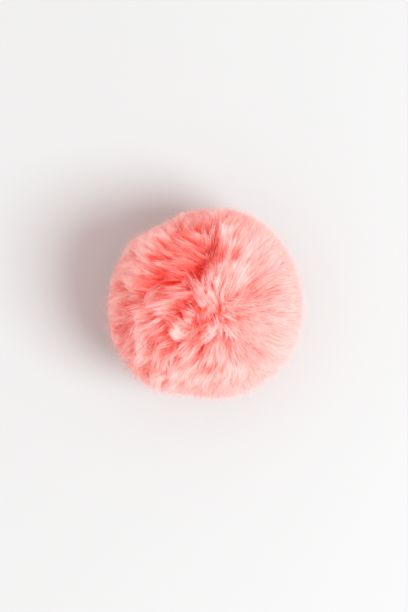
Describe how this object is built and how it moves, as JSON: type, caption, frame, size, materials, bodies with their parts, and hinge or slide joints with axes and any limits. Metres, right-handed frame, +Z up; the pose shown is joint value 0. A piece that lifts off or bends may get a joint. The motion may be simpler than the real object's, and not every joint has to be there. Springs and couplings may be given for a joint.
{
  "type": "fur pom pom",
  "caption": "Round fur pom pom: long silky hair gathered into a ball, combed away from a crown and a parting on top, short and level underneath where it rests.",
  "frame": {"origin": "middle of the ball's box, at the floor under the pressed underside", "axes": "+Z up out of the crown; +X to the side whose hair lies smooth; +Y to the far end of the parting"},
  "size_m": [0.0914, 0.087, 0.075],
  "materials": {
    "fur": "silky long pile"
  },
  "bodies": {
    "root": {"fur_ball": "fur"}
  },
  "joints": []
}
